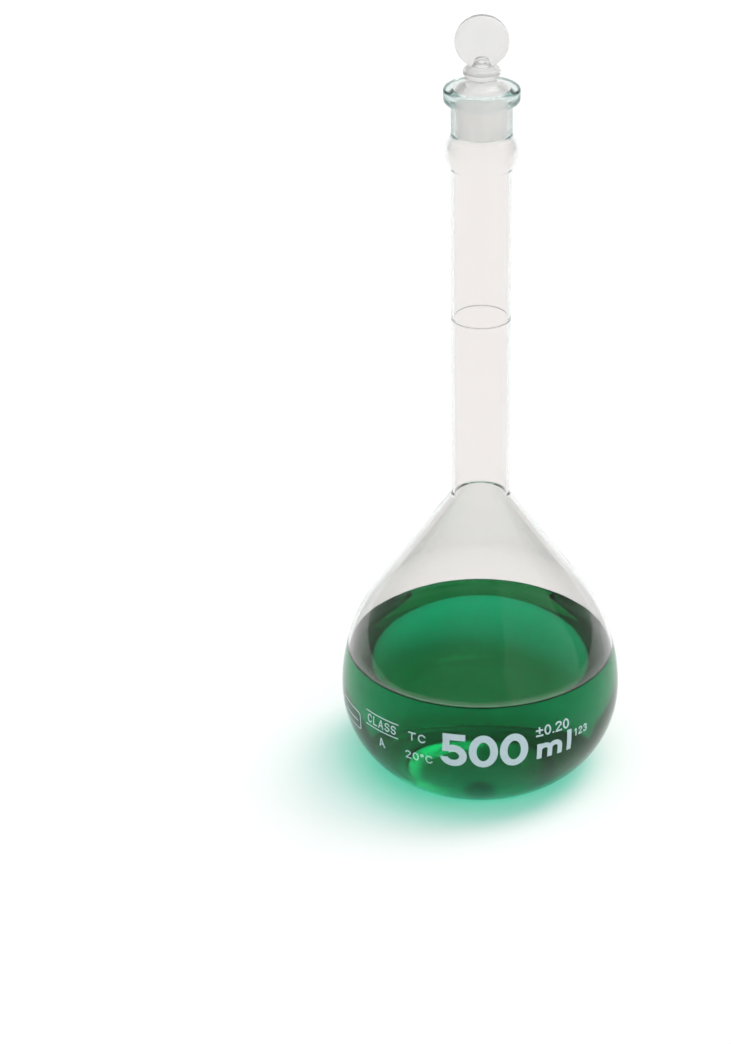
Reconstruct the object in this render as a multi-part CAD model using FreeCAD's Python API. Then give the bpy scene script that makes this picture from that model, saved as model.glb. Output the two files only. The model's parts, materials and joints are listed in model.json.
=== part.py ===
import FreeCAD, Part
import math
import os

from FreeCAD import Vector

# Volumetric flask of 500 ml with a ground glass stopper, in millimetres.
# Z runs up the axis of the flask and z = 0 is the surface that it stands on.
# The printed side faces -Y. Angles round the axis are in degrees from -Y, positive towards +X.

# ---- Driving dimensions -------------------------------------------------

# Bulb: a flat base, a low round belly and a straight shoulder.
CAPACITY = 500_000.0            # mm3 up to the graduation ring
BULB_RADIUS = 50.0
BELLY_HEIGHT = 29.6             # height of the widest circle
LOWER_ARC = 36.0                # radius of the outline below the belly
UPPER_ARC = 63.5                # radius of the outline above the belly
SHOULDER_ANGLE = 35.3           # degrees between the straight shoulder and the axis
BASE_CORNER = 5.5               # rounding between the base and the side
BASE_PUSH_UP = 1.4              # hollow under the middle of the base
STANDING_RING = 2.5             # width of the flat ring that the flask stands on
BULB_WALL = 1.1
BASE_WALL = 1.9
JUNCTION_ROUNDING = 3.0         # where the shoulder runs into the neck
JUNCTION_BORE_ROUNDING = 9.0    # the same place inside, where the glass is thick

# Neck: a drawn tube that widens a little towards the mouth.
NECK_FOOT_RADIUS = 10.15
NECK_HEAD_RADIUS = 10.4
NECK_WALL = 1.3
NECK_START = 110.0              # joint between the bulb and the neck tube
NECK_END = 226.0                # joint between the neck tube and the socket

# Socket: a small round bulge, the ground taper and a thick rim.
BULGE_BOTTOM = 227.8
BULGE_HEIGHT = 233.7
BULGE_TOP = 239.6
BULGE_RADIUS = 12.45
BULGE_WALL = 1.3
SOCKET_RADIUS = 10.35
RIM_TOP = 256.0
RIM_RADIUS = 12.9
RIM_BOTTOM = 250.6              # where the underside of the rim meets the wall
RIM_SLOPE = 0.3                 # how much the underside rises outwards
RIM_ROOT_ROUNDING = 0.7         # between the wall and the underside
RIM_LOWER_ROUNDING = 1.7        # between the underside and the upright edge
RIM_ROUNDING = 0.7              # between the edge and the top
MOUTH_LIP = 1.0                 # depth of the flare at the mouth
MOUTH_FLARE = 0.25
TAPER = 1.0 / 20.0              # radius per height of a 1:10 ground joint
GAUGE_RADIUS = 9.4              # large end of the ground taper
GRIND_LENGTH = 15.6

# Stopper: a tapered plug, a waist, a collar and a flat round head.
TAPER_CLEARANCE = 0.05
PLUG_TOP = 253.6
PLUG_BOTTOM = 239.6
PLUG_EDGE = 0.6                 # rounding at the bottom of the plug
SHOULDER_HEIGHT = 257.6         # where the shoulder of the plug meets the waist
SHOULDER_RADIUS = 6.4
SHOULDER_BULGE = 0.63           # how far the shoulder stands out from a straight cone
WAIST_RADIUS = 5.3
WAIST_HEIGHT = 258.9
COLLAR_RADIUS = 6.3
COLLAR_HEIGHT = 260.9
COLLAR_EDGE_RADIUS = 4.9        # where the round side of the collar meets its sloping top
COLLAR_EDGE_HEIGHT = 263.1
COLLAR_BULGE = (0.5, 0.5)       # how far the side stands out from straight, outwards and up
COLLAR_TOP = 263.9
COLLAR_TOP_RADIUS = 3.0
HEAD_RADIUS = 9.1
HEAD_HEIGHT = 271.9             # centre of the round head
HEAD_THICKNESS = 4.2
HEAD_EDGE = 1.4                 # rounding round both faces of the head
FOOT_WIDTH = 8.0                # web that carries the head on the collar
FOOT_DEPTH = 5.2
FOOT_TOP = 265.4
FOOT_ROUNDING = 2.1             # of the web's upright edges

# Contents: dilute green solution, well below the ring.
LIQUID_LEVEL = 44.6

# Enamel, fired onto the outside of the glass.
ENAMEL = 0.12
RING_WIDTH = 0.5
RING_ENAMEL = 0.08
PRINT_BAND = (20.0, 40.0)       # heights between which the bulb is printed

# Each line of letters: angle where it starts, height of its foot, then the height of a letter,
# the pen and the gap between letters.
FIGURES_LINE = (-16.2, 23.1, 13.1, 2.7, 0.7)
UNIT_M_LINE = (23.7, 24.1, 6.2, 1.9, 0)
UNIT_L_LINE = (37.9, 24.1, 8.3, 1.9, 0)
TOLERANCE_LINE = (23.2, 33.3, 3.9, 0.62, 0.5)
SERIAL_LINE = (41.4, 28.7, 3.0, 0.48, 0.5)
CLASS_LINE = (-52.6, 30.4, 3.4, 0.5, 0.62)
GRADE_LINE = (-46.0, 22.6, 3.9, 0.55, 0)
CALIBRATION_LINE = (-30.2, 30.6, 3.3, 0.5, 0.9)
TEMPERATURE_LINE = (-31.8, 22.5, 3.4, 0.45, 0.7)

# The rules over and under the accuracy class.
RULE_ANGLE = -44.4              # their middle
RULE_HEIGHTS = (29.1, 34.6)
RULE_WIDTH = 16.2
RULE_PEN = 0.42

# The outlined field to write on.
PANEL_ANGLE = -67.2
PANEL_BASE = 23.8
PANEL_WIDTH = 16.0
PANEL_HEIGHT = 7.4
PANEL_PEN = 0.5
PANEL_CORNER = 2.0
PANEL_RULE = 3.1                # height of the rule above the foot of the field


# ---- Outlines and solids of revolution ----------------------------------

def at(radius, height):
    """A point of an outline: distance from the axis and height."""
    return Vector(radius, 0, height)


def line(start, end):
    return Part.LineSegment(start, end).toShape()


def arc(start, middle, end):
    return Part.Arc(start, middle, end).toShape()


def arc_about(centre, radius, start, end):
    """Part of a circle about a centre, its angles in radians from the outward direction."""
    points = []
    for angle in (start, (start + end) / 2, end):
        points.append(centre + at(radius * math.cos(angle), radius * math.sin(angle)))
    return arc(*points)


def eased_corner(before, corner, after, rounding):
    """Where a rounded corner between two straight runs begins, its arc, and where it ends."""
    back = (before - corner).normalize()
    ahead = (after - corner).normalize()
    half_angle = back.getAngle(ahead) / 2
    reach = rounding / math.tan(half_angle)
    inward = (back + ahead).normalize()
    enter = corner + back * reach
    leave = corner + ahead * reach
    middle = corner + inward * (rounding / math.sin(half_angle) - rounding)
    return enter, arc(enter, middle, leave), leave


def revolve(edges):
    """The solid that a closed outline sweeps round the axis."""
    face = Part.Face(Part.Wire(edges))
    return face.revolve(Vector(0, 0, 0), Vector(0, 0, 1), 360)


def slab(low, high):
    """Everything near the axis between two heights."""
    return Part.makeCylinder(BULB_RADIUS * 2, high - low, at(0, low))


# ---- Flask body ---------------------------------------------------------

def bulb_solid(inset, floor, neck, rounding):
    """The full bulb up to the neck joint: its outside, or its inside when it is inset."""
    shoulder = math.radians(SHOULDER_ANGLE)
    lower_centre = at(BULB_RADIUS - LOWER_ARC, BELLY_HEIGHT)
    upper_centre = at(BULB_RADIUS - UPPER_ARC, BELLY_HEIGHT)
    lower_radius = LOWER_ARC - inset
    upper_radius = UPPER_ARC - inset
    drop = BELLY_HEIGHT - floor - BASE_CORNER
    reach = math.sqrt((lower_radius - BASE_CORNER) ** 2 - drop ** 2)
    corner_centre = at(lower_centre.x + reach, floor + BASE_CORNER)
    corner_angle = math.atan2(-drop, reach)
    ring_outside = at(corner_centre.x, floor)
    dome_foot = ring_outside - at(STANDING_RING, 0)
    dome_middle = at(dome_foot.x / 2, floor + BASE_PUSH_UP * 0.75)
    dome_top = at(0, floor + BASE_PUSH_UP)
    shoulder_start = upper_centre + at(math.cos(shoulder), math.sin(shoulder)) * upper_radius
    rise = (shoulder_start.x - neck) / math.tan(shoulder)
    junction = at(neck, shoulder_start.z + rise)
    head = at(neck, NECK_START)
    head_centre = at(0, NECK_START)
    enter, bend, leave = eased_corner(shoulder_start, junction, head, rounding)
    return revolve([
        arc(dome_top, dome_middle, dome_foot),
        line(dome_foot, ring_outside),
        arc_about(corner_centre, BASE_CORNER, -math.pi / 2, corner_angle),
        arc_about(lower_centre, lower_radius, corner_angle, 0),
        arc_about(upper_centre, upper_radius, 0, shoulder),
        line(shoulder_start, enter),
        bend,
        line(leave, head),
        line(head, head_centre),
        line(head_centre, dome_top),
    ])


def bulb_outside():
    return bulb_solid(0, 0, NECK_FOOT_RADIUS, JUNCTION_ROUNDING)


def bulb_inside():
    return bulb_solid(BULB_WALL, BASE_WALL, NECK_FOOT_RADIUS - NECK_WALL, JUNCTION_BORE_ROUNDING)


def bulb():
    return bulb_outside().cut(bulb_inside())


def neck_radius(height):
    """Outer radius of the neck, which widens evenly from its foot to its head."""
    share = (height - NECK_START) / (NECK_END - NECK_START)
    return NECK_FOOT_RADIUS + (NECK_HEAD_RADIUS - NECK_FOOT_RADIUS) * share


def neck_slice(low, high, grown):
    """The full neck between two heights, its radius grown by a small amount or shrunk."""
    return Part.makeCone(neck_radius(low) + grown, neck_radius(high) + grown, high - low, at(0, low))


def neck_tube():
    return neck_slice(NECK_START, NECK_END, 0).cut(neck_slice(NECK_START, NECK_END, -NECK_WALL))


def taper_radius(height):
    """Radius of the ground bore, widest just under the lip of the mouth."""
    return GAUGE_RADIUS - (RIM_TOP - MOUTH_LIP - height) * TAPER


def ground_socket():
    """Bulge, ground taper and rim, as one outline round the axis."""
    bore = NECK_HEAD_RADIUS - NECK_WALL
    lip = RIM_TOP - MOUTH_LIP
    grind_end = lip - GRIND_LENGTH
    wall_foot = at(SOCKET_RADIUS, BULGE_TOP)
    root = at(SOCKET_RADIUS, RIM_BOTTOM)
    corner = at(RIM_RADIUS, RIM_BOTTOM + RIM_SLOPE)
    edge_top = at(RIM_RADIUS, RIM_TOP)
    mouth = at(GAUGE_RADIUS + MOUTH_FLARE, RIM_TOP)
    root_enter, root_bend, root_leave = eased_corner(wall_foot, root, corner, RIM_ROOT_ROUNDING)
    low_enter, low_bend, low_leave = eased_corner(root, corner, edge_top, RIM_LOWER_ROUNDING)
    enter, rim_edge, leave = eased_corner(corner, edge_top, mouth, RIM_ROUNDING)
    return revolve([
        line(at(bore, NECK_END), at(NECK_HEAD_RADIUS, NECK_END)),
        line(at(NECK_HEAD_RADIUS, NECK_END), at(NECK_HEAD_RADIUS, BULGE_BOTTOM)),
        arc(at(NECK_HEAD_RADIUS, BULGE_BOTTOM), at(BULGE_RADIUS, BULGE_HEIGHT),
            wall_foot),
        line(wall_foot, root_enter),
        root_bend,
        line(root_leave, low_enter),
        low_bend,
        line(low_leave, enter),
        rim_edge,
        line(leave, mouth),
        line(mouth, at(GAUGE_RADIUS, lip)),
        line(at(GAUGE_RADIUS, lip), at(taper_radius(grind_end), grind_end)),
        arc(at(taper_radius(grind_end), grind_end), at(BULGE_RADIUS - BULGE_WALL, BULGE_HEIGHT),
            at(bore, BULGE_BOTTOM)),
        line(at(bore, BULGE_BOTTOM), at(bore, NECK_END)),
    ])


def graduation_height():
    """The height at which the inside of the flask holds its capacity."""
    left = CAPACITY - bulb_inside().Volume
    height = NECK_START
    for _ in range(8):
        bore = neck_radius((NECK_START + height) / 2) - NECK_WALL
        height = NECK_START + left / (math.pi * bore ** 2)
    return height


def graduation_ring():
    middle = graduation_height()
    low = middle - RING_WIDTH / 2
    high = middle + RING_WIDTH / 2
    return neck_slice(low, high, RING_ENAMEL).cut(neck_slice(low, high, 0))


def liquid():
    return bulb_inside().common(slab(0, LIQUID_LEVEL))


# ---- Stopper ------------------------------------------------------------

def stopper():
    """One piece of glass: plug, waist and collar turned round the axis, with a flat round head."""
    plug_top = at(taper_radius(PLUG_TOP) - TAPER_CLEARANCE, PLUG_TOP)
    plug_foot = at(taper_radius(PLUG_BOTTOM) - TAPER_CLEARANCE, PLUG_BOTTOM)
    foot_centre = at(0, PLUG_BOTTOM)
    enter, foot_edge, leave = eased_corner(foot_centre, plug_foot, plug_top, PLUG_EDGE)
    shoulder = at(SHOULDER_RADIUS, SHOULDER_HEIGHT)
    shoulder_middle = (plug_top + shoulder) * 0.5 + at(SHOULDER_BULGE, SHOULDER_BULGE)
    waist = at(WAIST_RADIUS, WAIST_HEIGHT)
    collar = at(COLLAR_RADIUS, COLLAR_HEIGHT)
    collar_edge = at(COLLAR_EDGE_RADIUS, COLLAR_EDGE_HEIGHT)
    collar_middle = (collar + collar_edge) * 0.5 + at(*COLLAR_BULGE)
    collar_top = at(COLLAR_TOP_RADIUS, COLLAR_TOP)
    top_centre = at(0, COLLAR_TOP)
    turned = revolve([
        line(foot_centre, enter),
        foot_edge,
        line(leave, plug_top),
        arc(plug_top, shoulder_middle, shoulder),
        line(shoulder, waist),
        line(waist, collar),
        arc(collar, collar_middle, collar_edge),
        line(collar_edge, collar_top),
        line(collar_top, top_centre),
        line(top_centre, foot_centre),
    ])
    head = Part.makeCylinder(HEAD_RADIUS, HEAD_THICKNESS,
                             Vector(0, -HEAD_THICKNESS / 2, HEAD_HEIGHT), Vector(0, 1, 0))
    rims = [edge for edge in head.Edges if isinstance(edge.Curve, Part.Circle)]
    head = head.makeFillet(HEAD_EDGE, rims)
    foot = Part.makeBox(FOOT_WIDTH, FOOT_DEPTH, FOOT_TOP - COLLAR_HEIGHT,
                        Vector(-FOOT_WIDTH / 2, -FOOT_DEPTH / 2, COLLAR_HEIGHT))
    uprights = [edge for edge in foot.Edges if edge.BoundBox.ZLength > 1]
    foot = foot.makeFillet(FOOT_ROUNDING, uprights)
    return turned.fuse([head, foot]).removeSplitter()


# ---- Letter shapes ------------------------------------------------------
# A letter is drawn upright in the XZ plane from its lower left corner, in a cell of a given width
# and height, with a pen of one thickness. Each letter is a list of faces that overlap or touch.

def polygon(*points):
    corners = [Vector(x, 0, z) for x, z in points]
    return Part.Face(Part.makePolygon(corners + corners[:1]))


def bar(left, low, right, high):
    return polygon((left, low), (right, low), (right, high), (left, high))


def slanted(foot, top, low, high, pen):
    """A slanted stroke between two heights, with level ends; foot and top are its middle line."""
    half = pen / 2
    return polygon((foot - half, low), (foot + half, low), (top + half, high), (top - half, high))


def oval(x, z, half_width, half_height):
    circle = Part.Face(Part.Wire(Part.makeCircle(1, Vector(0, 0, 0), Vector(0, -1, 0))))
    stretch = FreeCAD.Matrix()
    stretch.scale(half_width, 1, half_height)
    return circle.transformGeometry(stretch).translated(Vector(x, 0, z))


def loop(x, z, half_width, half_height, pen):
    inside = oval(x, z, half_width - pen, half_height - pen)
    return oval(x, z, half_width, half_height).cut(inside)


def zero(width, height, pen):
    return [loop(width / 2, height / 2, width / 2, height / 2, pen)]


def one(width, height, pen):
    stem = bar(width * 0.45, 0, width * 0.45 + pen, height)
    flag = slanted(width * 0.12 + pen / 2, width * 0.45 + pen / 2, height * 0.72, height, pen)
    return [stem, flag]


def two(width, height, pen):
    half = height * 0.3
    bowl = loop(width / 2, height - half, width / 2, half, pen)
    bowl = bowl.cut(bar(-1, height - half * 2 - 1, width / 2, height - half))
    bowl = bowl.cut(bar(width / 2, height - half * 2 - 1, width + 1, height - half * 1.5))
    tail = slanted(pen * 0.6, width - pen * 0.9, pen * 0.9, height - half * 1.3, pen)
    return [bowl, tail, bar(0, 0, width, pen)]


def three(width, height, pen):
    half = (height + pen) / 4
    gap = bar(-1, half, width * 0.4, height - half)
    lower = loop(width / 2, half, width / 2, half, pen).cut(gap)
    upper = loop(width / 2, height - half, width * 0.45, half, pen).cut(gap)
    return [lower, upper]


def five(width, height, pen):
    half = height * 0.34
    stem_left = width * 0.1
    gap = bar(-1, half * 0.85, width * 0.34, half * 1.5)
    bowl = loop(width / 2, half, width / 2, half, pen).cut(gap)
    top = bar(stem_left, height - pen * 0.9, width * 0.94, height)
    stem = slanted(stem_left + pen * 0.38, stem_left + pen * 0.55, half * 1.38, height, pen * 0.9)
    return [bowl, top, stem]


def letter_a(width, height, pen):
    left = slanted(pen / 2, width / 2, 0, height, pen)
    right = slanted(width - pen / 2, width / 2, 0, height, pen)
    return [left, right, bar(width * 0.22, height * 0.26, width * 0.78, height * 0.26 + pen)]


def letter_c(width, height, pen):
    gap = bar(width * 0.6, height * 0.3, width + 1, height * 0.7)
    return [loop(width / 2, height / 2, width / 2, height / 2, pen).cut(gap)]


def letter_l(width, height, pen):
    return [bar(0, 0, pen, height), bar(0, 0, width, pen)]


def letter_s(width, height, pen):
    half = (height + pen) / 4
    upper = loop(width / 2, height - half, width / 2, half, pen)
    upper = upper.cut(bar(width / 2, height - half * 2 - 1, width + 1, height - half))
    lower = loop(width / 2, half, width / 2, half, pen)
    lower = lower.cut(bar(-1, half, width / 2, half * 2 + 1))
    return [upper, lower]


def letter_t(width, height, pen):
    return [bar(0, height - pen, width, height), bar((width - pen) / 2, 0, (width + pen) / 2, height)]


def small_m(width, height, pen):
    """Three stems and two arches."""
    half = (width + pen) / 4
    strokes = []
    for middle in (half, width - half):
        arch = loop(middle, height * 0.55, half, height * 0.45, pen)
        strokes.append(arch.cut(bar(-1, -1, width + 1, height * 0.55)))
    for left, high in ((0, height), ((width - pen) / 2, height * 0.6), (width - pen, height * 0.6)):
        strokes.append(bar(left, 0, left + pen, high))
    return strokes


def small_l(width, height, pen):
    return [bar((width - pen) / 2, 0, (width + pen) / 2, height)]


def plus_minus(width, height, pen):
    cross = height * 0.6
    upright = bar((width - pen) / 2, height * 0.27, (width + pen) / 2, height * 0.93)
    return [bar(0, cross - pen / 2, width, cross + pen / 2), upright, bar(0, 0, width, pen)]


def point(width, height, pen):
    return [bar((width - pen) / 2, 0, (width + pen) / 2, pen * 1.1)]


def degree(width, height, pen):
    return [loop(width / 2, height - width / 2, width / 2, width / 2, pen)]


# ---- Enamel on the bulb -------------------------------------------------

def print_skin():
    """The thin layer of enamel that the whole printed band would be."""
    low, high = PRINT_BAND
    raised = bulb_solid(-ENAMEL, 0, NECK_FOOT_RADIUS, JUNCTION_ROUNDING)
    return raised.cut(bulb_outside()).common(slab(low, high))


def on_bulb(faces, angle, base, skin):
    """Flat shapes pressed onto the bulb, centred on their own x = 0, at an angle and a height."""
    outward = Vector(0, -BULB_RADIUS * 1.2, 0)
    stamps = [face.extrude(outward) for face in faces]
    stamp = stamps[0]
    if len(stamps) > 1:
        stamp = stamp.fuse(stamps[1:])
    stamp.translate(Vector(0, 0, base))
    stamp.rotate(Vector(0, 0, 0), Vector(0, 0, 1), angle)
    return skin.common(stamp)


def word(letters, place, skin):
    """Letters, each a drawing and its width, side by side towards +X."""
    angle, base, height, pen, gap = place
    marks = []
    start = math.radians(angle) * BULB_RADIUS
    for draw, width in letters:
        faces = draw(width, height, pen)
        for face in faces:
            face.translate(Vector(-width / 2, 0, 0))
        middle = math.degrees((start + width / 2) / BULB_RADIUS)
        marks += on_bulb(faces, middle, base, skin).Solids
        start += width + gap
    return marks


def capacity_figures(skin):
    letters = [(five, 9.6), (zero, 10.2), (zero, 10.2)]
    return word(letters, FIGURES_LINE, skin)


def capacity_unit(skin):
    unit = word([(small_m, 10.2)], UNIT_M_LINE, skin)
    return unit + word([(small_l, 1.9)], UNIT_L_LINE, skin)


def tolerance_mark(skin):
    letters = [(plus_minus, 2.8), (zero, 2.7), (point, 0.8), (two, 2.7), (zero, 2.7)]
    return word(letters, TOLERANCE_LINE, skin)


def serial_mark(skin):
    letters = [(one, 1.8), (two, 1.9), (three, 1.9)]
    return word(letters, SERIAL_LINE, skin)


def class_mark(skin):
    """The accuracy class, set between two rules with the grade below."""
    marks = []
    for base in RULE_HEIGHTS:
        rule = bar(-RULE_WIDTH / 2, 0, RULE_WIDTH / 2, RULE_PEN)
        marks += on_bulb([rule], RULE_ANGLE, base, skin).Solids
    letters = [(letter_c, 2.5), (letter_l, 2.1), (letter_a, 2.6), (letter_s, 2.3), (letter_s, 2.3)]
    marks += word(letters, CLASS_LINE, skin)
    marks += word([(letter_a, 2.9)], GRADE_LINE, skin)
    return marks


def calibration_mark(skin):
    return word([(letter_t, 3.0), (letter_c, 3.1)], CALIBRATION_LINE, skin)


def temperature_mark(skin):
    letters = [(two, 2.3), (zero, 2.4), (degree, 1.3), (letter_c, 2.7)]
    return word(letters, TEMPERATURE_LINE, skin)


def write_on_panel(skin):
    """A plain outlined field to write on, with one rule across it."""
    pen = PANEL_PEN
    half = PANEL_WIDTH / 2
    straight = half - PANEL_CORNER
    top = PANEL_HEIGHT
    sides = [
        bar(-straight, 0, straight, pen),
        bar(-straight, top - pen, straight, top),
        bar(-half, PANEL_CORNER, -half + pen, top - PANEL_CORNER),
        bar(half - pen, PANEL_CORNER, half, top - PANEL_CORNER),
        bar(-straight, PANEL_RULE, straight, PANEL_RULE + pen),
    ]
    for x in (-straight, straight):
        for z in (PANEL_CORNER, top - PANEL_CORNER):
            turn = loop(x, z, PANEL_CORNER, PANEL_CORNER, pen)
            left = -half if x < 0 else x
            low = 0 if z < top / 2 else z
            sides.append(turn.common(bar(left, low, left + PANEL_CORNER, low + PANEL_CORNER)))
    return on_bulb(sides, PANEL_ANGLE, PANEL_BASE, skin).Solids


PRINTS = [
    capacity_figures,
    capacity_unit,
    tolerance_mark,
    serial_mark,
    class_mark,
    calibration_mark,
    temperature_mark,
    write_on_panel,
]


# ---- Nodes --------------------------------------------------------------

def main():
    os.makedirs("parts", exist_ok=True)
    nodes = {}
    for make in (bulb, neck_tube, ground_socket, graduation_ring, liquid, stopper):
        nodes[make.__name__] = make()
    skin = print_skin()
    for make in PRINTS:
        nodes[make.__name__] = Part.makeCompound(make(skin))
    for name, shape in nodes.items():
        shape.exportStep("parts/" + name + ".step")
        print(name, len(shape.Solids), "solids", round(shape.Volume / 1000, 3), "ml",
              "valid" if shape.isValid() else "NOT VALID")
    print("graduation ring at", round(graduation_height(), 2))


main()
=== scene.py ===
import json
import math

import bmesh
import bpy
from mathutils import Matrix, Vector


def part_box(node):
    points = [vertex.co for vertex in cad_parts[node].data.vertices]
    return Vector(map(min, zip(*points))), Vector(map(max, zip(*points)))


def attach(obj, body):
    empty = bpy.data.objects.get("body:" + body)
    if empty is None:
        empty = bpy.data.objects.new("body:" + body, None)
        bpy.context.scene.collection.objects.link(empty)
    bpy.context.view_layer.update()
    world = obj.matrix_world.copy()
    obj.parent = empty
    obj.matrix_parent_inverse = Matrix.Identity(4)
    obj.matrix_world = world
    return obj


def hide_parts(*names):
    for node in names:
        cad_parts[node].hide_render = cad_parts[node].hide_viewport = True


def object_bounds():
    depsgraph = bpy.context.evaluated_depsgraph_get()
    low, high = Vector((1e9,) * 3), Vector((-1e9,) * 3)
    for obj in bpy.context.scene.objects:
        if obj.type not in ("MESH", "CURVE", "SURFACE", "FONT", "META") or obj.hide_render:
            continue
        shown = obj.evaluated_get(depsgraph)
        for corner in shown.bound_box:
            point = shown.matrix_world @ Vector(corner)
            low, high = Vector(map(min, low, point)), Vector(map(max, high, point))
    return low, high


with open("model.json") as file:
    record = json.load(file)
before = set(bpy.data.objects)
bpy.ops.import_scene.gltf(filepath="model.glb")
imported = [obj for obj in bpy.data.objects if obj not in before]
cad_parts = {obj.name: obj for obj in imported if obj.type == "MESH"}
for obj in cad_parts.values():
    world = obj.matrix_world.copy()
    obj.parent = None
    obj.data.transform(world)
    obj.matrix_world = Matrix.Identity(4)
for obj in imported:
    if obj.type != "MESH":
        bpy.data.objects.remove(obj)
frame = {"nodes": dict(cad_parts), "record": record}
cad_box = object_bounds()

MM = 0.001

# ---- Sizes, in metres, from the frame and from the design ---------------

BULB_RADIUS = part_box("bulb")[1].x
BELLY_HEIGHT = 29.6 * MM
LOWER_ARC = 36.0 * MM
UPPER_ARC = 63.5 * MM
SHOULDER_ANGLE = math.radians(35.3)
BASE_CORNER = 5.5 * MM
BASE_PUSH_UP = 1.4 * MM
STANDING_RING = 2.5 * MM
BULB_WALL = 1.1 * MM
BASE_WALL = 1.9 * MM
JUNCTION_ROUNDING = 3.0 * MM
JUNCTION_BORE_ROUNDING = 3.6 * MM  # less than in the CAD, so that the arc it shows stays faint
NECK_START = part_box("neck_tube")[0].z
NECK_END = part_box("neck_tube")[1].z
NECK_FOOT_RADIUS = 10.15 * MM
NECK_HEAD_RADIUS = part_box("neck_tube")[1].x
NECK_WALL = 1.0 * MM             # less than in the CAD, so that the neck's bright edges stay narrow
BULGE_BOTTOM = 227.8 * MM
BULGE_HEIGHT = 233.7 * MM
BULGE_TOP = 239.6 * MM
BULGE_RADIUS = 12.45 * MM
BULGE_WALL = 1.3 * MM
SOCKET_RADIUS = 10.35 * MM
RIM_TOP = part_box("ground_socket")[1].z
RIM_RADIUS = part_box("ground_socket")[1].x
RIM_BOTTOM = 250.6 * MM
RIM_SLOPE = 0.3 * MM
RIM_ROOT_ROUNDING = 0.7 * MM
RIM_LOWER_ROUNDING = 1.7 * MM
RIM_ROUNDING = 0.9 * MM
MOUTH_LIP = 1.0 * MM
MOUTH_FLARE = 0.25 * MM
TAPER = 1.0 / 20.0
GAUGE_RADIUS = 9.4 * MM
GRIND_LENGTH = 15.6 * MM
TAPER_CLEARANCE = 0.05 * MM
PLUG_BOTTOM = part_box("stopper")[0].z
HEAD_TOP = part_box("stopper")[1].z
LIQUID_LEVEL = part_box("liquid")[1].z


# ---- Outlines: lists of (radius, height) --------------------------------

HOLLOW_STEPS = 12                # pieces that each curve is cut into
CORNER_STEPS = 8
LOWER_STEPS = 16
UPPER_STEPS = 24
BULGE_STEPS = 16
RIM_STEPS = 6
SMALL_STEPS = 5


def arc_about(radius, height, size, start, end, steps):
    """Points along a circle about (radius, height), its angles in radians from the outward side."""
    points = []
    for i in range(steps + 1):
        angle = start + (end - start) * i / steps
        points.append((radius + size * math.cos(angle), height + size * math.sin(angle)))
    return points


def arc_through(start, middle, end, steps):
    """Points along the circle through three points."""
    (ax, ay), (bx, by), (cx, cy) = start, middle, end
    d = 2 * (ax * (by - cy) + bx * (cy - ay) + cx * (ay - by))
    ux = ((ax**2 + ay**2) * (by - cy) + (bx**2 + by**2) * (cy - ay) + (cx**2 + cy**2) * (ay - by)) / d
    uy = ((ax**2 + ay**2) * (cx - bx) + (bx**2 + by**2) * (ax - cx) + (cx**2 + cy**2) * (bx - ax)) / d
    size = math.hypot(ax - ux, ay - uy)
    first = math.atan2(ay - uy, ax - ux)
    last = math.atan2(cy - uy, cx - ux)
    via = math.atan2(by - uy, bx - ux)
    turn = (last - first) % math.tau
    if (via - first) % math.tau > turn:
        turn -= math.tau
    return arc_about(ux, uy, size, first, first + turn, steps)


def eased_corner(before, corner, after, rounding, steps):
    """Points round a corner between two straight runs."""
    here = Vector(corner)
    back = (Vector(before) - here).normalized()
    ahead = (Vector(after) - here).normalized()
    half_angle = back.angle(ahead) / 2
    reach = rounding / math.tan(half_angle)
    middle = here + (back + ahead).normalized() * (rounding / math.sin(half_angle) - rounding)
    return arc_through(here + back * reach, middle, here + ahead * reach, steps)


def spaced(outline, gap):
    """The same outline with points no further apart than a gap."""
    points = [outline[0]]
    for (r0, z0), (r1, z1) in zip(outline, outline[1:]):
        pieces = max(1, math.ceil(math.hypot(r1 - r0, z1 - z0) / gap))
        for i in range(1, pieces + 1):
            points.append((r0 + (r1 - r0) * i / pieces, z0 + (z1 - z0) * i / pieces))
    return points


def softened(outline):
    """The outline with its corners melted a little, as fire polishing does; its ends stay."""
    points = [outline[0]]
    for before, here, after in zip(outline, outline[1:], outline[2:]):
        points.append(tuple((before[k] + 2 * here[k] + after[k]) / 4 for k in (0, 1)))
    points.append(outline[-1])
    return points


def bulb_outline(inset, floor, neck, rounding):
    """The bulb from the middle of its base to the neck joint, outside or inset from it."""
    lower_centre = BULB_RADIUS - LOWER_ARC
    upper_centre = BULB_RADIUS - UPPER_ARC
    lower_radius = LOWER_ARC - inset
    upper_radius = UPPER_ARC - inset
    drop = BELLY_HEIGHT - floor - BASE_CORNER
    reach = math.sqrt((lower_radius - BASE_CORNER) ** 2 - drop**2)
    corner_angle = math.atan2(-drop, reach)
    ring_outside = lower_centre + reach
    ring_inside = ring_outside - STANDING_RING
    points = []
    for i in range(HOLLOW_STEPS + 1):
        radius = ring_inside * i / HOLLOW_STEPS
        points.append((radius, floor + BASE_PUSH_UP * (1 - (radius / ring_inside) ** 2)))
    points += arc_about(ring_outside, floor + BASE_CORNER, BASE_CORNER, -math.pi / 2, corner_angle,
                        CORNER_STEPS)
    points += arc_about(lower_centre, BELLY_HEIGHT, lower_radius, corner_angle, 0, LOWER_STEPS)[1:]
    points += arc_about(upper_centre, BELLY_HEIGHT, upper_radius, 0, SHOULDER_ANGLE, UPPER_STEPS)[1:]
    shoulder = points[-1]
    junction = (neck, shoulder[1] + (shoulder[0] - neck) / math.tan(SHOULDER_ANGLE))
    head = (neck, NECK_START)
    points += eased_corner(shoulder, junction, head, rounding, CORNER_STEPS)
    points.append(head)
    return points


def taper_radius(height):
    """Radius of the ground bore at a height."""
    return GAUGE_RADIUS - (RIM_TOP - MOUTH_LIP - height) * TAPER


GRIND_TOP = RIM_TOP - MOUTH_LIP
GRIND_END = GRIND_TOP - GRIND_LENGTH


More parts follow.
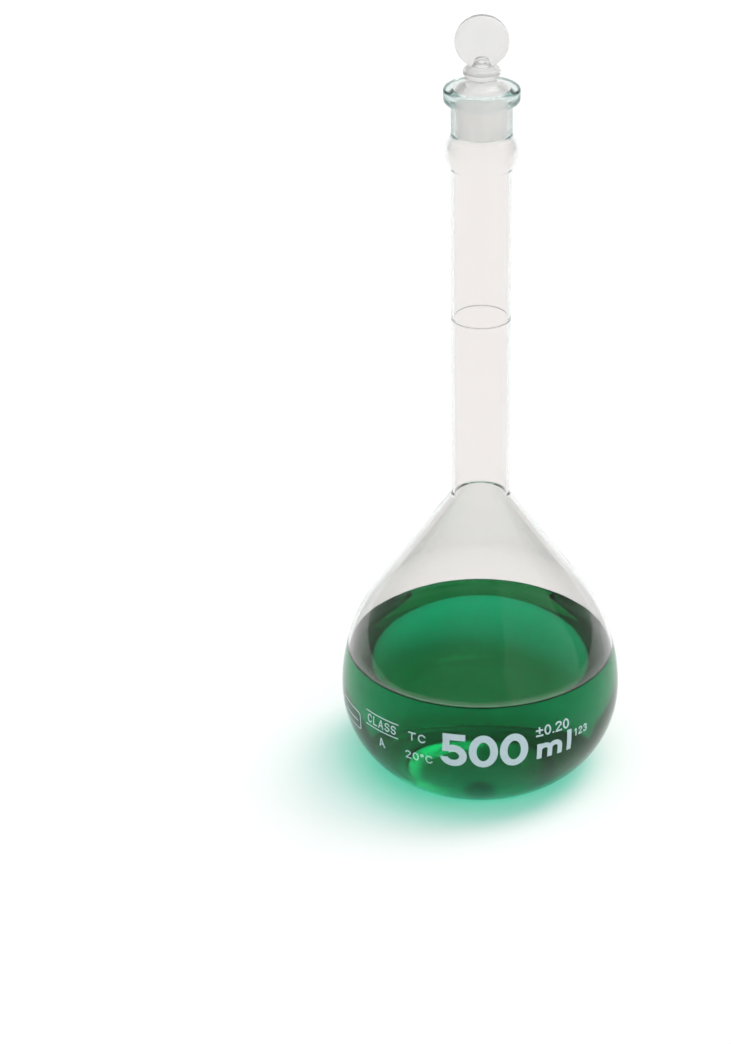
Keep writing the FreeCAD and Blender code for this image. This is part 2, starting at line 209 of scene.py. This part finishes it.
def glass_outside():
    """The outer side of the flask, from the middle of the base to the mouth."""
    wall_foot = (SOCKET_RADIUS, BULGE_TOP)
    root = (SOCKET_RADIUS, RIM_BOTTOM)
    corner = (RIM_RADIUS, RIM_BOTTOM + RIM_SLOPE)
    edge_top = (RIM_RADIUS, RIM_TOP)
    mouth = (GAUGE_RADIUS + MOUTH_FLARE, RIM_TOP)
    points = bulb_outline(0, 0, NECK_FOOT_RADIUS, JUNCTION_ROUNDING)
    points.append((NECK_HEAD_RADIUS, NECK_END))
    points += arc_through((NECK_HEAD_RADIUS, BULGE_BOTTOM), (BULGE_RADIUS, BULGE_HEIGHT), wall_foot,
                          BULGE_STEPS)
    points += eased_corner(wall_foot, root, corner, RIM_ROOT_ROUNDING, SMALL_STEPS)
    points += eased_corner(root, corner, edge_top, RIM_LOWER_ROUNDING, CORNER_STEPS)
    points += eased_corner(corner, edge_top, mouth, RIM_ROUNDING, RIM_STEPS)
    points.append(mouth)
    return points


def glass_inside():
    """The inner side of the flask, from the lip of the mouth down to the middle of the floor."""
    bore = NECK_HEAD_RADIUS - NECK_WALL
    points = arc_through((taper_radius(GRIND_END), GRIND_END), (BULGE_RADIUS - BULGE_WALL, BULGE_HEIGHT),
                         (bore, BULGE_BOTTOM), BULGE_STEPS)
    points.append((bore, NECK_END))
    points += bulb_outline(BULB_WALL, BASE_WALL, NECK_FOOT_RADIUS - NECK_WALL,
                           JUNCTION_BORE_ROUNDING)[::-1]
    return points


# ---- Meshes -------------------------------------------------------------

SEGMENTS = 144                   # round the axis
ON_AXIS = 0.001 * MM             # a ring smaller than this is a point
SHARP_GLASS = 40.0               # edges sharper than this many degrees stay sharp
SHARP_SOLUTION = 50.0
SHARP_ENAMEL = 30.0
SHARP_FLOOR = 35.0


def closed_mesh(name, rings, materials, bands, sharp):
    """A closed surface through rings of points; a ring of one point closes an end.

    Each band between two rings names its material's place."""
    mesh = bmesh.new()
    verts = [[mesh.verts.new(point) for point in ring] for ring in rings]
    if len(rings[0]) > 1 and len(rings[-1]) > 1:
        verts.append(verts[0])
    for band, (low, high) in enumerate(zip(verts, verts[1:])):
        count = max(len(low), len(high))
        for i in range(count):
            j = (i + 1) % count
            if len(low) == 1:
                face = mesh.faces.new((low[0], high[j], high[i]))
            elif len(high) == 1:
                face = mesh.faces.new((low[i], low[j], high[0]))
            else:
                face = mesh.faces.new((low[i], low[j], high[j], high[i]))
            face.material_index = bands[band]
    bmesh.ops.recalc_face_normals(mesh, faces=mesh.faces)
    return finished(name, mesh, materials, sharp)


def finished(name, mesh, materials, sharp):
    """A shown object from a bmesh, smooth except at edges sharper than an angle in degrees."""
    for face in mesh.faces:
        face.smooth = True
    limit = math.radians(sharp)
    for edge in mesh.edges:
        if len(edge.link_faces) == 2 and edge.calc_face_angle(0) > limit:
            edge.smooth = False
    data = bpy.data.meshes.new(name)
    mesh.to_mesh(data)
    mesh.free()
    for material in materials:
        data.materials.append(material)
    piece = bpy.data.objects.new(name, data)
    bpy.context.scene.collection.objects.link(piece)
    return piece


def turned(name, parts, materials, sharp):
    """A closed surface turned round the axis. Each part is an outline and its material's place;
    a part starts where the one before ends."""
    outline = [parts[0][0][0]]
    bands = []
    for points, place in parts:
        outline += points[1:]
        bands += [place] * (len(points) - 1)
    rings = []
    for radius, height in outline:
        if radius < ON_AXIS:
            rings.append([(0, 0, height)])
            continue
        ring = []
        for i in range(SEGMENTS):
            angle = math.tau * i / SEGMENTS
            ring.append((radius * math.cos(angle), radius * math.sin(angle), height))
        rings.append(ring)
    bands.append(bands[-1])          # for an outline that closes on itself
    return closed_mesh(name, rings, materials, bands, sharp)


# ---- Materials ----------------------------------------------------------

def new_material(name):
    """A material with its nodes, its links, its shader and its output."""
    made = bpy.data.materials.new(name)
    made.use_nodes = True
    nodes = made.node_tree.nodes
    return made, nodes, made.node_tree.links, nodes["Principled BSDF"], nodes["Material Output"]


def noise(nodes, links, scale, detail=3.0, stretch=(1, 1, 1)):
    """Soft noise from 0 to 1, fixed to the piece."""
    place = nodes.new("ShaderNodeTexCoord")
    mapping = nodes.new("ShaderNodeMapping")
    mapping.inputs["Scale"].default_value = stretch
    texture = nodes.new("ShaderNodeTexNoise")
    texture.inputs["Scale"].default_value = scale
    texture.inputs["Detail"].default_value = detail
    links.new(place.outputs["Object"], mapping.inputs["Vector"])
    links.new(mapping.outputs["Vector"], texture.inputs["Vector"])
    return texture.outputs["Fac"]


def inner_band(nodes, links, low, high, reach):
    """1 between two heights and within a distance of the axis, and 0 elsewhere."""
    place = nodes.new("ShaderNodeTexCoord")
    parts = nodes.new("ShaderNodeSeparateXYZ")
    links.new(place.outputs["Object"], parts.inputs[0])
    level = nodes.new("ShaderNodeMath")
    level.operation = "COMPARE"
    level.inputs[1].default_value = (low + high) / 2
    level.inputs[2].default_value = (high - low) / 2
    links.new(parts.outputs["Z"], level.inputs[0])
    flat = nodes.new("ShaderNodeVectorMath")
    flat.operation = "MULTIPLY"
    flat.inputs[1].default_value = (1, 1, 0)
    links.new(place.outputs["Object"], flat.inputs[0])
    distance = nodes.new("ShaderNodeVectorMath")
    distance.operation = "LENGTH"
    links.new(flat.outputs["Vector"], distance.inputs[0])
    inside = nodes.new("ShaderNodeMath")
    inside.operation = "LESS_THAN"
    inside.inputs[1].default_value = reach
    links.new(distance.outputs["Value"], inside.inputs[0])
    both = nodes.new("ShaderNodeMath")
    both.operation = "MULTIPLY"
    links.new(level.outputs["Value"], both.inputs[0])
    links.new(inside.outputs["Value"], both.inputs[1])
    return both.outputs["Value"]


def between(nodes, links, factor, low, high):
    """The factor spread from one value to another."""
    spread = nodes.new("ShaderNodeMapRange")
    spread.inputs["To Min"].default_value = low
    spread.inputs["To Max"].default_value = high
    links.new(factor, spread.inputs["Value"])
    return spread.outputs["Result"]


def bumped(nodes, links, shader, factor, depth):
    """Lets the factor raise the surface by up to a depth."""
    bump = nodes.new("ShaderNodeBump")
    bump.inputs["Distance"].default_value = depth
    links.new(factor, bump.inputs["Height"])
    links.new(bump.outputs["Normal"], shader.inputs["Normal"])


def clear(name, tint, rough, ior, ripple, ripple_depth, stretch=(1, 1, 1), passes=1.0, absorbs=None,
          density=0, ground=None):
    """Something to see through: tint at its surface, absorption in its depth, slight ripples.

    Lamps shine straight through it. Between the heights that ground names, within its distance
    of the axis, the surface is matt."""
    made, nodes, links, shader, output = new_material(name)
    shader.inputs["Base Color"].default_value = (*tint, 1)
    shader.inputs["IOR"].default_value = ior
    shader.inputs["Transmission Weight"].default_value = passes
    shader.inputs["Specular Tint"].default_value = (SHINE, SHINE, SHINE, 1)
    fine = noise(nodes, links, ripple, detail=2.0, stretch=stretch)
    roughness = between(nodes, links, fine, rough[0], rough[1])
    if ground:
        blend = nodes.new("ShaderNodeMath")
        blend.operation = "MULTIPLY_ADD"
        blend.inputs[1].default_value = GROUND_ROUGHNESS
        links.new(inner_band(nodes, links, *ground), blend.inputs[0])
        links.new(roughness, blend.inputs[2])
        roughness = blend.outputs["Value"]
    links.new(roughness, shader.inputs["Roughness"])
    bumped(nodes, links, shader, fine, ripple_depth)
    if absorbs:
        volume = nodes.new("ShaderNodeVolumeAbsorption")
        volume.inputs["Color"].default_value = (*absorbs, 1)
        volume.inputs["Density"].default_value = density
        links.new(volume.outputs["Volume"], output.inputs["Volume"])
    path = nodes.new("ShaderNodeLightPath")
    stand_in = nodes.new("ShaderNodeBsdfTransparent")
    stand_in.inputs["Color"].default_value = (1, 1, 1, 1)
    mix = nodes.new("ShaderNodeMixShader")
    links.new(path.outputs["Is Shadow Ray"], mix.inputs["Fac"])
    links.new(shader.outputs["BSDF"], mix.inputs[1])
    links.new(stand_in.outputs["BSDF"], mix.inputs[2])
    links.new(mix.outputs["Shader"], output.inputs["Surface"])
    return made


def enamel(name, light, dark, passes=0.0):
    """Fired enamel, a little uneven in tone; a thin coat lets some light pass."""
    made, nodes, links, shader, output = new_material(name)
    shader.inputs["Transmission Weight"].default_value = passes
    tone = noise(nodes, links, ENAMEL_GRAIN, detail=4.0)
    mix = nodes.new("ShaderNodeMix")
    mix.data_type = "RGBA"
    mix.inputs["A"].default_value = (*light, 1)
    mix.inputs["B"].default_value = (*dark, 1)
    links.new(tone, mix.inputs["Factor"])
    links.new(mix.outputs["Result"], shader.inputs["Base Color"])
    shader.inputs["Roughness"].default_value = ENAMEL_ROUGHNESS
    bumped(nodes, links, shader, tone, depth=0.01 * MM)
    return made


GLASS_IOR = 1.47
LIQUID_IOR = 1.335
SHINE = 0.3                      # share of the glancing reflection at a clear surface
POLISHED = (0.0, 0.006)          # least and most roughness
GROUND_ROUGHNESS = 0.2           # of the socket's ground bore
GROUND = (GRIND_END, GRIND_TOP, GAUGE_RADIUS + MOUTH_FLARE / 2)
GLASS_GREEN = (0.0, 0.55, 0.48)  # what the depth of the glass leaves
GLASS_DENSITY = 36
SOLUTION_GREEN = (0.0, 0.87, 0.82)
SOLUTION_DENSITY = 100
DYE = (0.02, 0.56, 0.29)         # tint of the glass and the surface that the solution wets
RIPPLE = 70                      # ripples of drawn glass to the metre, longer along the axis
RIPPLE_DEPTH = 0.04 * MM
DRAWN = (1, 1, 0.25)
ENAMEL_GRAIN = 900
ENAMEL_ROUGHNESS = 0.45

glass = clear("clear_glass", (0.925, 0.886, 0.88), POLISHED, GLASS_IOR, RIPPLE, RIPPLE_DEPTH, DRAWN,
              absorbs=GLASS_GREEN, density=GLASS_DENSITY, ground=GROUND)
lower_glass = clear("lower_glass", DYE, POLISHED, GLASS_IOR, RIPPLE, RIPPLE_DEPTH, DRAWN)
wet_glass = clear("wet_glass", (0.98, 0.98, 0.98), POLISHED, GLASS_IOR / LIQUID_IOR, RIPPLE,
                  RIPPLE_DEPTH, DRAWN)
stopper_glass = clear("stopper_glass", (0.8, 0.795, 0.785), (0.0, 0.03), GLASS_IOR, ripple=260,
                      ripple_depth=0.06 * MM, passes=0.8)
stopper_ground = clear("stopper_ground", (1.0, 0.99, 0.985), (0.15, 0.22), GLASS_IOR, ripple=2600,
                       ripple_depth=0.01 * MM, passes=0.6)
solution = clear("green_solution", (0.8, 0.97, 0.92), (0.0, 0.0), ior=1.0, ripple=30, ripple_depth=0.0,
                 absorbs=SOLUTION_GREEN, density=SOLUTION_DENSITY)
solution_top = clear("solution_top", DYE, (0.0, 0.004), LIQUID_IOR, ripple=30, ripple_depth=0.01 * MM)
# The enamel is white; these grey-blue base colours are darker than white, painted shade of its dimly lit
# front, and the noise mixes them as uneven tone.
white_enamel = enamel("white_enamel", (0.5, 0.62, 0.66), (0.4, 0.53, 0.58))
ring_enamel = enamel("ring_enamel", (0.95, 0.94, 0.93), (0.88, 0.87, 0.86), passes=0.8)


# ---- Flask body ---------------------------------------------------------

CHORD = 1.4 * MM                 # longest step along an outline
SOAK = 0.2 * MM                  # how far the liquid's surface lies inside the glass wall
MENISCUS = 1.3 * MM              # how high the liquid climbs up the wall
MENISCUS_REACH = 1.9 * MM
BRIM = LIQUID_LEVEL + MENISCUS
GRIND_STEPS = 6


def cut_at(outline, height):
    """An outline that runs up or down past a height, as the two parts before and after it."""
    for i, (here, there) in enumerate(zip(outline, outline[1:])):
        if (here[1] - height) * (there[1] - height) <= 0:
            share = (height - here[1]) / (there[1] - here[1])
            cut = (here[0] + (there[0] - here[0]) * share, height)
            return outline[: i + 1] + [cut], [cut] + outline[i + 1 :]


outside = softened(spaced(glass_outside(), CHORD))
inside = softened(spaced(glass_inside(), CHORD))
lower_outside, upper_outside = cut_at(outside, BRIM)
dry_inside, wet_inside = cut_at(inside, BRIM)
grind = [outside[-1]]
for step in range(GRIND_STEPS + 1):
    level = GRIND_TOP - GRIND_LENGTH * step / GRIND_STEPS
    grind.append((taper_radius(level), level))
flask = turned("flask_glass", [(lower_outside, 1), (upper_outside, 0), (grind, 0), (dry_inside, 0),
                               (wet_inside, 2)], [glass, lower_glass, wet_glass], SHARP_GLASS)
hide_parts("bulb", "neck_tube", "ground_socket")
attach(flask, "flask")


# ---- Solution -----------------------------------------------------------

MENISCUS_SPAN = 7 * MENISCUS_REACH
MENISCUS_STEPS = 14
MENISCUS_CROWDING = 1.8          # the points crowd towards the wall
FLAT_STEPS = 6
SKIN = 0.01 * MM                 # between the top of the liquid's body and its surface


def liquid_top(edge):
    """The surface of the liquid from the wall to the axis, with its meniscus."""
    points = [edge]
    for i in range(1, MENISCUS_STEPS + 1):
        back = SOAK + MENISCUS_SPAN * (i / MENISCUS_STEPS) ** MENISCUS_CROWDING
        rise = MENISCUS * math.exp(-(back - SOAK) / MENISCUS_REACH)
        points.append((edge[0] - back, LIQUID_LEVEL + rise))
    flat = edge[0] - SOAK - MENISCUS_SPAN
    for i in range(1, FLAT_STEPS + 1):
        points.append((flat * (1 - i / FLAT_STEPS), LIQUID_LEVEL))
    return points


wetted = bulb_outline(BULB_WALL - SOAK, BASE_WALL - SOAK, NECK_FOOT_RADIUS - NECK_WALL,
                      JUNCTION_BORE_ROUNDING)
wall = cut_at(spaced(wetted, CHORD), BRIM)[0]
top = liquid_top(wall[-1])
liquid = turned("solution", [(wall, 0), (top, 0)], [solution], SHARP_SOLUTION)
surface_outline = [(radius, height + SKIN) for radius, height in top]
surface = turned("solution_surface", [(surface_outline, 0)], [solution_top], SHARP_SOLUTION)
for piece in (liquid, surface):
    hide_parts("liquid")
    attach(piece, "flask")


# ---- Stopper ------------------------------------------------------------

HEAD_RADIUS = 9.1 * MM
HEAD_HEIGHT = HEAD_TOP - HEAD_RADIUS
HEAD_HALF = 2.1 * MM
HEAD_EDGE = 1.9 * MM
EDGE_POWER = 2.5                 # how square the rim of the head is
PLUG_TOP = 253.6 * MM            # where the plug's straight taper ends
PLUG_EDGE = 0.6 * MM
PLUG_SHOULDER = (8.32 * MM, 256.2 * MM)
WAIST_FOOT = (6.4 * MM, 257.6 * MM)
WAIST = (5.35 * MM, 258.9 * MM)
COLLAR_FOOT = (6.3 * MM, 260.9 * MM)
COLLAR_SIDE = (6.1 * MM, 262.5 * MM)
COLLAR_EDGE = (4.9 * MM, 263.2 * MM)
COLLAR_TOP = 263.9 * MM
MOUND_RADIUS = 3.3 * MM          # of the blob of glass that joins the head to the collar
MOUND_RISE = 2.8 * MM
MOUND_POWER = 3                  # how square the blob is
MOUND_STEPS = 9
BLEND_POWER = 10                 # how tightly the head meets the turned part
HEAD_STEPS = 44
HALVINGS = 26                    # of the search for the head's surface
STOPPER_SEGMENTS = 176
STOPPER_CHORD = 0.7 * MM
SPREAD = 2.2                     # points crowd towards the rim of the head


def head_half_depth(distance):
    """Half the thickness of the head at a distance from its centre."""
    inner = HEAD_RADIUS - HEAD_EDGE
    if distance <= inner:
        return HEAD_HALF
    share = min(1.0, (distance - inner) / HEAD_EDGE)
    return HEAD_HALF * (1 - share**EDGE_POWER) ** (1 / EDGE_POWER)


def head_reach(angle, rise):
    """How far the head reaches from the axis in a direction, at a height from its centre."""
    if abs(rise) >= HEAD_RADIUS:
        return 0.0
    low, high = 0.0, HEAD_RADIUS
    for _ in range(HALVINGS):
        reach = (low + high) / 2
        distance = math.hypot(reach * math.cos(angle), rise)
        if distance < HEAD_RADIUS and abs(reach * math.sin(angle)) < head_half_depth(distance):
            low = reach
        else:
            high = reach
    return low


def stopper_outline():
    """The turned part of the stopper, from the middle of the plug's foot to the collar's top."""
    plug_top = (taper_radius(PLUG_TOP) - TAPER_CLEARANCE, PLUG_TOP)
    foot = (taper_radius(PLUG_BOTTOM) - TAPER_CLEARANCE, PLUG_BOTTOM)
    points = [(0, PLUG_BOTTOM)]
    points += eased_corner((0, PLUG_BOTTOM), foot, plug_top, PLUG_EDGE, SMALL_STEPS)
    points.append(plug_top)
    points += arc_through(plug_top, PLUG_SHOULDER, WAIST_FOOT, CORNER_STEPS)[1:]
    points += arc_through(WAIST_FOOT, WAIST, COLLAR_FOOT, CORNER_STEPS)[1:]
    points += arc_through(COLLAR_FOOT, COLLAR_SIDE, COLLAR_EDGE, CORNER_STEPS)[1:]
    points.append((MOUND_RADIUS, COLLAR_TOP))
    return points


def stopper_rings():
    """Rings of points up the stopper: its turned part, the blob and the flat head."""
    angles = []
    for i in range(STOPPER_SEGMENTS):
        turn = math.tau * i / STOPPER_SEGMENTS
        angles.append(math.atan2(math.sin(turn), SPREAD * math.cos(turn)))
    rings = []
    levels = softened(spaced(stopper_outline(), STOPPER_CHORD))
    for i in range(1, MOUND_STEPS + 1):
        rise = i / MOUND_STEPS
        radius = MOUND_RADIUS * (1 - rise**MOUND_POWER) ** (1 / MOUND_POWER)
        levels.append((radius, COLLAR_TOP + MOUND_RISE * rise))
    top = levels[-1][1]
    start = math.asin((top - HEAD_HEIGHT) / HEAD_RADIUS)
    for i in range(1, HEAD_STEPS + 1):
        turn = start + (math.pi / 2 - start) * i / HEAD_STEPS
        levels.append((0, HEAD_HEIGHT + HEAD_RADIUS * math.sin(turn)))
    for radius, height in levels:
        ring = []
        for angle in angles:
            reach = head_reach(angle, height - HEAD_HEIGHT)
            reach = (reach**BLEND_POWER + radius**BLEND_POWER) ** (1 / BLEND_POWER)
            ring.append((reach * math.cos(angle), reach * math.sin(angle), height))
        if max(math.hypot(x, y) for x, y, z in ring) < ON_AXIS:
            ring = [(0, 0, height)]
        rings.append(ring)
    return rings


rings = stopper_rings()
frosted = []
for low, high in zip(rings, rings[1:]):
    frosted.append(1 if PLUG_BOTTOM < low[0][2] < PLUG_TOP else 0)
stopper = closed_mesh("stopper_glass_body", rings, [stopper_glass, stopper_ground], frosted, SHARP_GLASS)
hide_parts("stopper")
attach(stopper, "stopper")


# ---- Enamel -------------------------------------------------------------

SINK = 0.03 * MM                 # of the enamel's back into the glass
RAISE = 0.06 * MM                # of its front over the glass
FINE = 0.9 * MM                  # longest edge left
WELD = 0.0005 * MM
OUTWARD = 0.7                    # least agreement of a front face with the way out of the glass
BACK_GAP = 0.048 * MM            # a face of the CAD enamel nearer the glass than this is its back
CUTS = 4                         # most times that long edges are halved


def bulb_foot(point):
    """The point of the bulb's outside nearest to a point, and the direction out of the glass."""
    radius = math.hypot(point.x, point.y)
    size = LOWER_ARC if point.z < BELLY_HEIGHT else UPPER_ARC
    centre = BULB_RADIUS - size
    away = math.hypot(radius - centre, point.z - BELLY_HEIGHT)
    out = (radius - centre) / away
    up = (point.z - BELLY_HEIGHT) / away
    normal = Vector((point.x / radius * out, point.y / radius * out, up))
    ring = centre + size * out
    foot = Vector((point.x / radius * ring, point.y / radius * ring, BELLY_HEIGHT + size * up))
    return foot, normal


def fired(node, material):
    """A mark of enamel that follows the bulb closely, cut to the outline of its CAD node."""
    mesh = bmesh.new()
    mesh.from_mesh(frame["nodes"][node].data)
    bmesh.ops.remove_doubles(mesh, verts=mesh.verts, dist=WELD)
    inner = []
    for face in mesh.faces:
        foot, normal = bulb_foot(face.calc_center_median())
        away = (face.calc_center_median() - foot).length
        if face.normal.dot(normal) < OUTWARD or away < BACK_GAP:
            inner.append(face)
    bmesh.ops.delete(mesh, geom=inner, context="FACES")
    for _ in range(CUTS):
        long = [edge for edge in mesh.edges if edge.calc_length() > FINE]
        if not long:
            break
        bmesh.ops.subdivide_edges(mesh, edges=long, cuts=1)
        bmesh.ops.triangulate(mesh, faces=mesh.faces)
    feet = {}
    for vert in mesh.verts:
        feet[vert] = bulb_foot(vert.co)
    front = list(mesh.faces)
    rim = [edge for edge in mesh.edges if len(edge.link_faces) == 1]
    backs = {}
    for vert, (foot, normal) in feet.items():
        backs[vert] = mesh.verts.new(foot - normal * SINK)
        vert.co = foot + normal * RAISE
    for face in front:
        mesh.faces.new([backs[vert] for vert in reversed(face.verts)])
    for edge in rim:
        first, second = edge.verts
        mesh.faces.new((first, second, backs[second], backs[first]))
    bmesh.ops.recalc_face_normals(mesh, faces=mesh.faces)
    piece = finished(node + "_fired", mesh, [material], SHARP_ENAMEL)
    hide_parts(node)
    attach(piece, "flask")
    return piece


for subpart in frame["record"]["subparts"]:
    if subpart["material_slot"] == "white_enamel":
        fired(subpart["node"], white_enamel)

ring_low, ring_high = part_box("graduation_ring")
slope = (NECK_HEAD_RADIUS - NECK_FOOT_RADIUS) / (NECK_END - NECK_START)
ring_radius = NECK_FOOT_RADIUS + slope * (ring_low.z - NECK_START)
ring_outline = [
    (ring_radius - SINK, ring_low.z),
    (ring_radius + RAISE, ring_low.z),
    (ring_radius + RAISE, ring_high.z),
    (ring_radius - SINK, ring_high.z),
]
ring = turned("graduation_ring_fired", [(ring_outline, 0)], [ring_enamel], SHARP_ENAMEL)
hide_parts("graduation_ring")
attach(ring, "flask")


# ---- Floor, light and camera -------------------------------------------

def flat_sheet(name, half_width, height, material):
    """A square sheet round the axis, at a height."""
    mesh = bmesh.new()
    corners = [mesh.verts.new((x * half_width, y * half_width, height))
               for x, y in ((-1, -1), (1, -1), (1, 1), (-1, 1))]
    mesh.faces.new(corners)
    return finished(name, mesh, [material], SHARP_FLOOR)


FLOOR_HALF_WIDTH = 1.1
FLOOR_WHITE = (0.9, 0.9, 0.9, 1)
FLOOR_ROUGHNESS = (0.85, 0.95)
FLOOR_GRAIN = 40

floor_paint, nodes, links, shader, output = new_material("floor_paint")
shader.inputs["Base Color"].default_value = FLOOR_WHITE
shader.inputs["Specular IOR Level"].default_value = 0.0
grain = noise(nodes, links, FLOOR_GRAIN)
links.new(between(nodes, links, grain, *FLOOR_ROUGHNESS), shader.inputs["Roughness"])
floor = flat_sheet("floor", FLOOR_HALF_WIDTH, 0.0, floor_paint)

ROOM_LIGHT = 0.38
# Each light: the way to it, the radii in degrees where it starts and is full, and what it adds.
CEILING = ((0, 0, 1), 32, 14, 1.25)
SCREENS = [
    ((0, -0.995, 0.1), 60, 25, 0.38),            # low in front
    ((0, 0.995, -0.1), 60, 20, 0.7),             # low behind
    ((0.474, 0.338, 0.812), 20, 9, 4.1),         # a lamp, high at the back right
    ((0.83, -0.49, 0.26), 37, 35.5, 0.55),       # large, at the front right
]
# A small dark card behind, which the level solution mirrors: elevation in degrees, radii as
# above, and the share of the light that it leaves.
CARD = (30, 5, 3, 0.2)
BACKDROP = 1.0                   # what the camera itself sees beyond the floor

world = bpy.data.worlds.new("studio")
bpy.context.scene.world = world
world.use_nodes = True
nodes = world.node_tree.nodes
links = world.node_tree.links
sky = nodes["Background"]
direction = nodes.new("ShaderNodeTexCoord")


def spread(value, start, end, low, high):
    """A smooth step of a value from one brightness to another."""
    step = nodes.new("ShaderNodeMapRange")
    step.interpolation_type = "SMOOTHSTEP"
    step.inputs["From Min"].default_value = start
    step.inputs["From Max"].default_value = end
    step.inputs["To Min"].default_value = low
    step.inputs["To Max"].default_value = high
    links.new(value, step.inputs["Value"])
    return step.outputs["Result"]


def towards(x, y, z):
    """How closely a direction of view agrees with a fixed one."""
    agree = nodes.new("ShaderNodeVectorMath")
    agree.operation = "DOT_PRODUCT"
    agree.inputs[1].default_value = (x, y, z)
    links.new(direction.outputs["Generated"], agree.inputs[0])
    return agree.outputs["Value"]


def combined(operation, first, second):
    """Two values added or multiplied."""
    result = nodes.new("ShaderNodeMath")
    result.operation = operation
    links.new(first, result.inputs[0])
    links.new(second, result.inputs[1])
    return result.outputs["Value"]


def radius_of(degrees):
    """How closely two directions agree that stand this far apart."""
    return math.cos(math.radians(degrees))


way, outer, inner, adds = CEILING
brightness = spread(towards(*way), radius_of(outer), radius_of(inner), ROOM_LIGHT, ROOM_LIGHT + adds)
for way, outer, inner, adds in SCREENS:
    screen = spread(towards(*way), radius_of(outer), radius_of(inner), 0, adds)
    brightness = combined("ADD", brightness, screen)
elevation, outer, inner, leaves = CARD
lift = math.radians(elevation)
card = spread(towards(0, math.cos(lift), math.sin(lift)), radius_of(outer), radius_of(inner), 1, leaves)
brightness = combined("MULTIPLY", brightness, card)
seen = nodes.new("ShaderNodeLightPath")
backdrop = nodes.new("ShaderNodeMix")
backdrop.inputs["B"].default_value = BACKDROP
links.new(seen.outputs["Is Camera Ray"], backdrop.inputs["Factor"])
links.new(brightness, backdrop.inputs["A"])
links.new(backdrop.outputs["Result"], sky.inputs["Strength"])
sky.inputs["Color"].default_value = (1.0, 1.0, 1.0, 1)


def sun(name, place, size, strength):
    """A broad light as far away as the sun, its size in degrees."""
    light = bpy.data.lights.new(name, "SUN")
    light.angle = math.radians(size)
    light.energy = strength
    holder = bpy.data.objects.new(name, light)
    holder.location = place
    holder.rotation_euler = (-holder.location).to_track_quat("-Z", "Y").to_euler()
    bpy.context.scene.collection.objects.link(holder)


sun("fill_right", Vector((0.7, 0.3, 1.3)), size=26, strength=0.27)
sun("overhead", Vector((0.3, 0.15, 1.5)), size=26, strength=0.57)

CAMERA_PLACE = (0, -1.0044, 0.6143)
FOCAL_LENGTH = 110.1
YAW = math.radians(-2.32)
PITCH = math.radians(27.37)
ROLL = math.radians(-0.89)
ahead = Vector((math.sin(YAW) * math.cos(PITCH), math.cos(YAW) * math.cos(PITCH), -math.sin(PITCH)))
sideways = Vector((math.cos(YAW), -math.sin(YAW), 0))
upright = sideways.cross(ahead)
across = sideways * math.cos(ROLL) + upright * math.sin(ROLL)
over = upright * math.cos(ROLL) - sideways * math.sin(ROLL)
lens = bpy.data.cameras.new("camera")
lens.lens = FOCAL_LENGTH
lens.sensor_width = 36.0
lens.clip_start = 0.05
lens.clip_end = 60.0
camera = bpy.data.objects.new("camera", lens)
turn = Matrix((across, over, -ahead)).transposed().to_4x4()
camera.matrix_world = Matrix.Translation(CAMERA_PLACE) @ turn
bpy.context.scene.collection.objects.link(camera)
bpy.context.scene.camera = camera

scene = bpy.context.scene
scene.view_settings.view_transform = "Standard"
scene.cycles.max_bounces = 28
scene.cycles.transmission_bounces = 28
scene.cycles.glossy_bounces = 12
scene.cycles.diffuse_bounces = 5
scene.cycles.transparent_max_bounces = 32
scene.cycles.caustics_refractive = True
scene.cycles.caustics_reflective = True

low, high = cad_box
